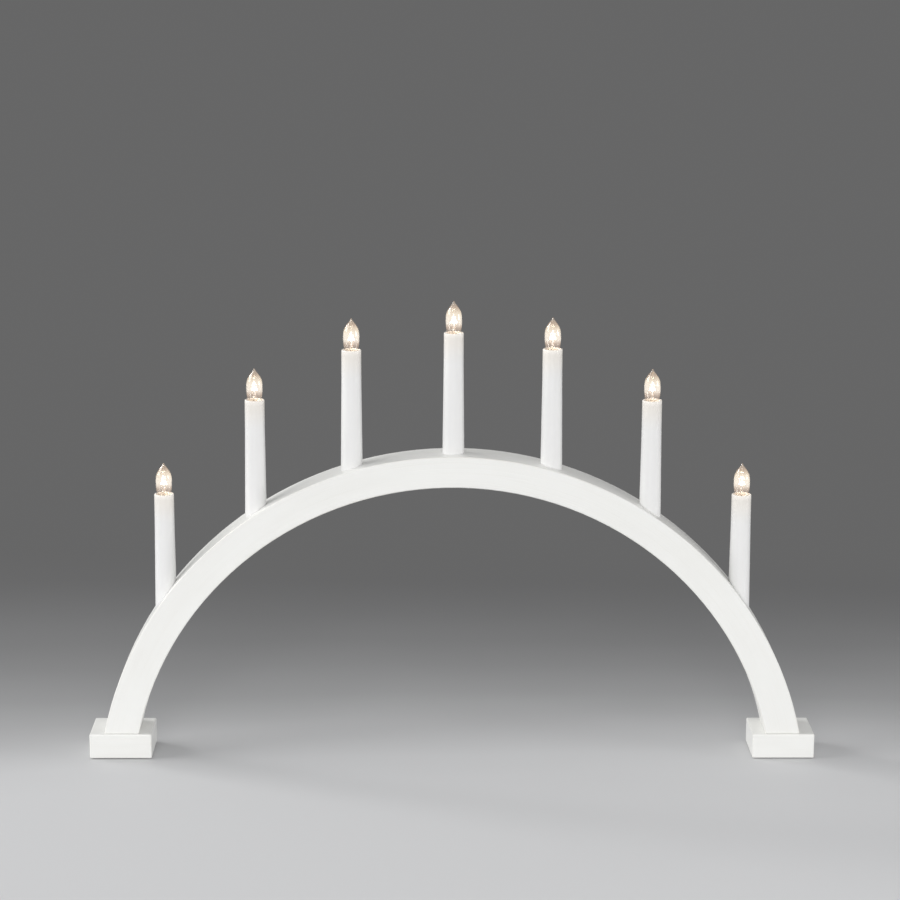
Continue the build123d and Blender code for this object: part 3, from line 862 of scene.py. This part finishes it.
for n in CANDLES:
    low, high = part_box(f"candle_sleeve_{n}")
    rim = Vector(((low.x + high.x) / 2, (low.y + high.y) / 2, high.z))
    body = f"bulb_{n}"
    glass = put(f"clear_bulb_{n}", glass_data, rim, body)
    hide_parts(f"bulb_glass_{n}")
    put(f"bulb_leads_{n}", lead_data, rim, body)
    coil = put(f"bulb_coil_{n}", coil_data, rim, body)
    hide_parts(f"bulb_filament_{n}")
    filament_lamp(n, glass)
    print(f"candle {n}: rim at", [round(v, 4) for v in rim])

# %% [markdown]
# ## Felt pads under the feet
# Each foot stands on four round pads, stamped out of a sheet of felt. The CAD discs are
# exact, and felt isn't: fibres give way at the edge, so the rim is rounded and a little
# wavy, and no two pads are quite alike. The lathe makes each pad, and then the points
# are drawn in by a wave that runs round it. The pads never stand out beyond the discs
# that they replace. Their places come from the boxes of the foot and of the discs.

# %% Eight felt pads
PAD_SIDE = [
    (0, 0), (5.3, 0), (5.75, 0.05), (5.97, 0.18), (6.0, 0.34), (5.86, 0.5), (5.6, 0.6), (0, 0.6),
]
PAD_RADIUS = 6.0 * MM
PAD_SIDES = 72
PAD_WAVE = 0.025
LONG_WAVES, SHORT_WAVES = 3, 8
pads_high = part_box("foot_pads")[1]
PAD_INSET_X = foot_high.x - (pads_high.x - PAD_RADIUS)
PAD_INSET_Y = foot_high.y - (pads_high.y - PAD_RADIUS)


def felt_pad(mesh, x, y, number):
    """Round pad at this place. Its number shifts the waves of its rim."""
    count = len(mesh.verts)
    turn(mesh, metres(PAD_SIDE), PAD_SIDES)
    mesh.verts.ensure_lookup_table()
    for vert in mesh.verts[count:]:
        angle = atan2(vert.co.y, vert.co.x)
        waves = sin(LONG_WAVES * angle + number) + sin(SHORT_WAVES * angle - 2 * number)
        keep = 1 - PAD_WAVE * (2 + waves) / 4
        vert.co = Vector((x + vert.co.x * keep, y + vert.co.y * keep, vert.co.z))


pad_mesh = bmesh.new()
pad_places = [
    (side * x, y)
    for side in (-1, 1)
    for x in (foot_low.x + PAD_INSET_X, foot_high.x - PAD_INSET_X)
    for y in (foot_low.y + PAD_INSET_Y, foot_high.y - PAD_INSET_Y)
]
for number, (x, y) in enumerate(pad_places):
    felt_pad(pad_mesh, x, y, number)
pad_data = finished_mesh(pad_mesh, "felt_pads", finishes["pad_felt"])
pads = put("felt_pads", pad_data, (0, 0, 0), "root")
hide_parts("foot_pads")
print("felt pads at", [(round(x, 4), round(y, 4)) for x, y in pad_places])

# %% [markdown]
# ## Floor and background
# The lamp stands on a studio floor, and a pool of light on it is painted into its colour: pale
# under the lamp, and darkening behind it into an even grey. The floor is one large sheet. Its
# colour depends on the distance from a long oval painted pool of light, turned a little so
# that its far edge comes nearer on the right. Far from the pool the sheet shows one plain
# grey, which the world repeats, so that no horizon shows from any side.

# %% Floor
BACKGROUND_GREY = (0.134, 0.134, 0.1345, 1)
FLOOR_PLACES = [0.0, 0.17, 0.355, 0.4, 0.51, 0.57, 0.66, 0.74, 0.83, 0.97]
PAINTED_POOL_TONES = [0.68, 0.648, 0.636, 0.612, 0.41, 0.328, 0.257, 0.213, 0.185, 0.155]
FLOOR_TINT = (1.0, 1.005, 1.015)
FLOOR_CLOUDS, CLOUD_DRIFT = (3, 3, 3), 0.008
POOL_CENTRE = (0.42, -0.42, 0.0)
POOL_STRETCH = (0.34, 1.0, 0.0)
POOL_TURN = radians(5)
PLAIN_FROM, PLAIN_TO = 0.77, 1.12
FLOOR_REACH, FLOOR_SQUARES = 30, 8


def away_from_pool(tree):
    """Distance from the pool's middle, counted shorter along the oval, with a slight drift."""
    point = surface_point(tree)
    moved = combine(tree, "SUBTRACT", point, POOL_CENTRE)
    turning = {"Vector": moved, "Angle": POOL_TURN}
    turned = add(tree, "VectorRotate", turning, rotation_type="Z_AXIS").outputs[0]
    scaled = combine(tree, "MULTIPLY", turned, POOL_STRETCH)
    away = add(tree, "VectorMath", {0: scaled}, operation="LENGTH").outputs["Value"]
    cloud = noise(tree, point, FLOOR_CLOUDS, detail=2.0)
    return work_out(tree, "ADD", away, vary(tree, cloud, -CLOUD_DRIFT, CLOUD_DRIFT))


def studio_floor():
    """Floor with a painted pool of light: darker away from the pool, and plain grey in the end."""
    material, tree, shader = new_finish("studio_floor", Roughness=0.75, Specular_IOR_Level=0.25)
    away = away_from_pool(tree)
    colours = [tuple(tone * part for part in FLOOR_TINT) for tone in PAINTED_POOL_TONES]
    # Painted pool of light: the floor's colour follows the distance from the pool.
    wire_up(tree, shader, Base_Color=ramp(tree, away, FLOOR_PLACES, colours))
    plain = add(tree, "Emission", {0: BACKGROUND_GREY})
    show_both(tree, fade(tree, away, PLAIN_FROM, PLAIN_TO), shader, plain)
    return material


floor_mesh = bmesh.new()
bmesh.ops.create_grid(
    floor_mesh, x_segments=FLOOR_SQUARES, y_segments=FLOOR_SQUARES, size=FLOOR_REACH
)
floor_data = finished_mesh(floor_mesh, "studio_floor", studio_floor())
floor = bpy.data.objects.new("studio_floor", floor_data)
bpy.context.scene.collection.objects.link(floor)
print("floor tones from", PAINTED_POOL_TONES[0], "to", PAINTED_POOL_TONES[-1])

# %% [markdown]
# ## Light
# The photograph is lit softly and nearly from all round. The fronts are the brightest, so
# one large lamp stands far in front. A short dark shadow lies to the right of each foot:
# a very large lamp on the left makes it, whose light reaches round the narrow bow but not
# round the wide feet. One faint long shadow runs from the left foot to the right and
# forward. It comes from a smaller lamp, farther back on the left. A weak lamp opens the
# right sides. It stands low, so that it hardly lights the floor and leaves the shadows
# there.

# %% Lamps
def soft_lamp(name, place, target, size, power):
    """Square lamp of this size in metres and power in watts, aimed at a target."""
    data = bpy.data.lights.new(name, "AREA")
    data.shape = "SQUARE"
    data.size = size
    data.energy = power
    lamp = bpy.data.objects.new(name, data)
    lamp.location = place
    lamp.rotation_euler = (Vector(target) - Vector(place)).to_track_quat("-Z", "Y").to_euler()
    lamp.visible_camera = False
    bpy.context.scene.collection.objects.link(lamp)
    print(f"{name}: {size} m, {power} W")


LOW_IN_ARCH, MIDDLE_OF_ARCH = (0, 0, 0.1), (0, 0, 0.2)
soft_lamp("left_lamp", (-4.4, -0.1, 2.6), LOW_IN_ARCH, size=3.3, power=120)
soft_lamp("back_left_lamp", (-3.8, 1.9, 2.4), LOW_IN_ARCH, size=0.9, power=40)
soft_lamp("front_lamp", (-0.4, -4.3, 1.0), MIDDLE_OF_ARCH, size=2.2, power=96)
soft_lamp("right_lamp", (2.6, -0.6, 0.6), MIDDLE_OF_ARCH, size=1.0, power=15)

# %% [markdown]
# The world adds light from everywhere. A ray that reaches it straight, by a mirror or
# through glass meets the grey of the background in place of the lighting colour.

# %% World
WORLD_LIGHT = (0.463, 0.463, 0.468, 1)
world = bpy.data.worlds.new("studio_world")
world.use_nodes = True
bpy.context.scene.world = world
sky = world.node_tree
ray = add(sky, "LightPath").outputs
straight = work_out(sky, "MAXIMUM", ray["Is Camera Ray"], ray["Is Glossy Ray"])
seen = work_out(sky, "MAXIMUM", straight, ray["Is Transmission Ray"])
sky.links.new(mix(sky, seen, WORLD_LIGHT, BACKGROUND_GREY), sky.nodes["Background"].inputs["Color"])
bpy.context.scene.view_settings.view_transform = "Standard"
print("world light:", WORLD_LIGHT[:3], "background:", BACKGROUND_GREY[:3])
